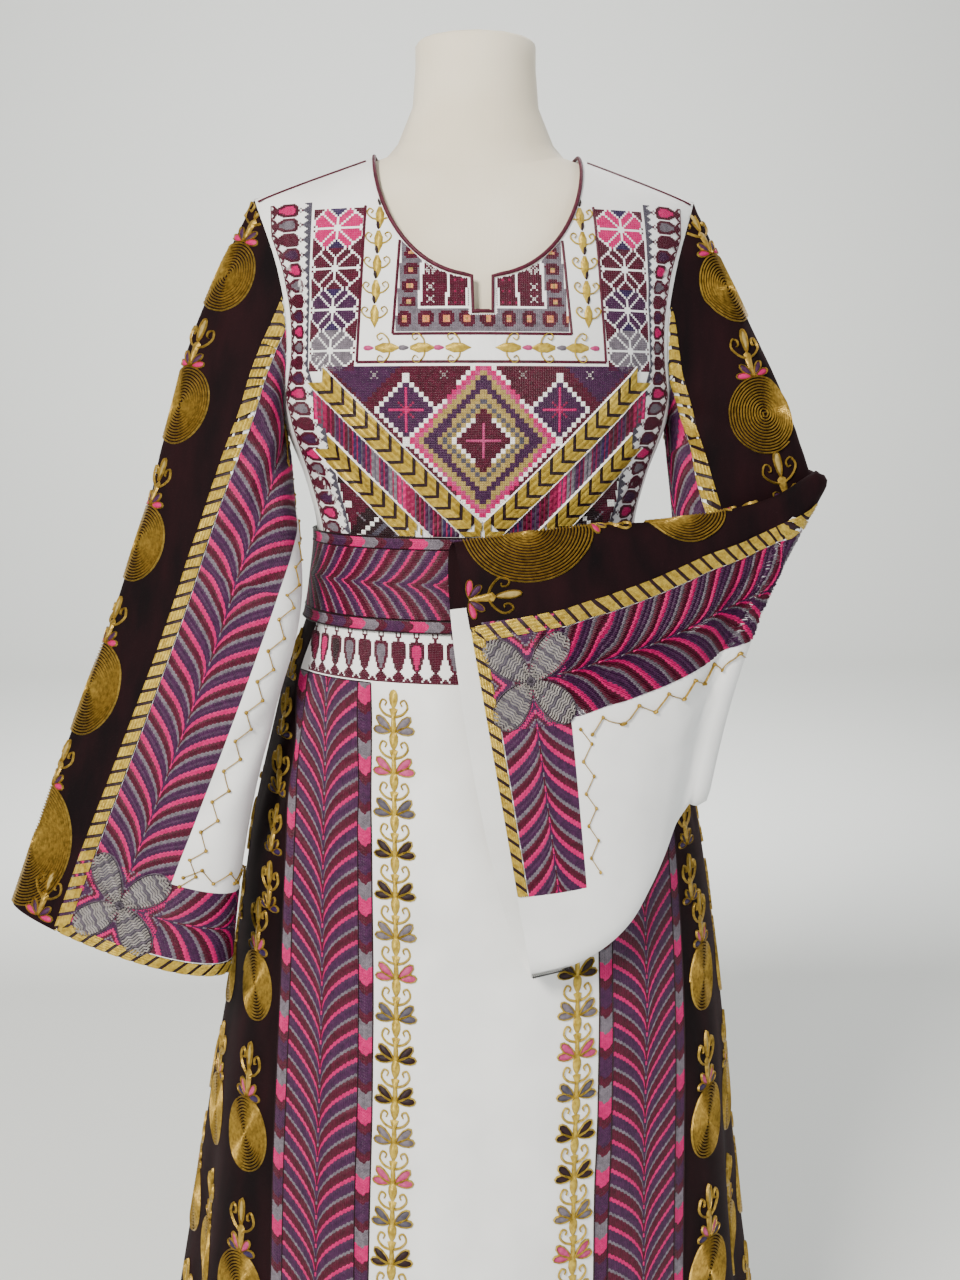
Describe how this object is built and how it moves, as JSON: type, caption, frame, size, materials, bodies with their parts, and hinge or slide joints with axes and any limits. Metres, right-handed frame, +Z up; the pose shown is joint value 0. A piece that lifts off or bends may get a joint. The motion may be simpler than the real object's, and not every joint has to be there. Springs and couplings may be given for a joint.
{
  "type": "dress with belt on dress form",
  "caption": "Long white embroidered dress with velvet strips, wide sleeves, one folded over the waist, and an embroidered belt, on a cream dress form with a round base.",
  "frame": {"origin": "middle of the underside of the form's round base, on the floor", "axes": "+Z up along the pole, -Y out of the front of the dress, +X to the viewer's right"},
  "size_m": [0.8076, 0.5635, 1.552],
  "materials": {
    "white_crepe": "satin",
    "burgundy_velvet": "matte",
    "belt_cloth": "satin",
    "fishbone_band": "satin",
    "burgundy_thread": "satin",
    "gold_braid": "satin",
    "cream_jersey": "matte",
    "white_steel": "satin"
  },
  "bodies": {
    "root": {"belt": "belt_cloth", "bodice_back": "white_crepe", "bodice_front": "white_crepe", "folded_sleeve_back": "white_crepe", "folded_sleeve_front": "white_crepe", "folded_sleeve_gold_back": "gold_braid", "folded_sleeve_gold_front": "gold_braid", "folded_sleeve_hem_back": "gold_braid", "folded_sleeve_hem_front": "gold_braid", "folded_sleeve_velvet": "burgundy_velvet", "form_base": "white_steel", "form_body": "cream_jersey", "form_collar": "white_steel", "form_pole": "white_steel", "hanging_sleeve_back": "white_crepe", "hanging_sleeve_front": "white_crepe", "hanging_sleeve_gold_back": "gold_braid", "hanging_sleeve_gold_front": "gold_braid", "hanging_sleeve_hem_back": "gold_braid", "hanging_sleeve_hem_front": "gold_braid", "hanging_sleeve_velvet": "burgundy_velvet", "hip_band": "white_crepe", "neck_binding": "burgundy_thread", "skirt_back": "white_crepe", "skirt_band_left": "fishbone_band", "skirt_band_right": "fishbone_band", "skirt_front": "white_crepe", "skirt_side_back_left": "burgundy_velvet", "skirt_side_back_right": "burgundy_velvet", "skirt_side_left": "burgundy_velvet", "skirt_side_right": "burgundy_velvet"}
  },
  "joints": []
}
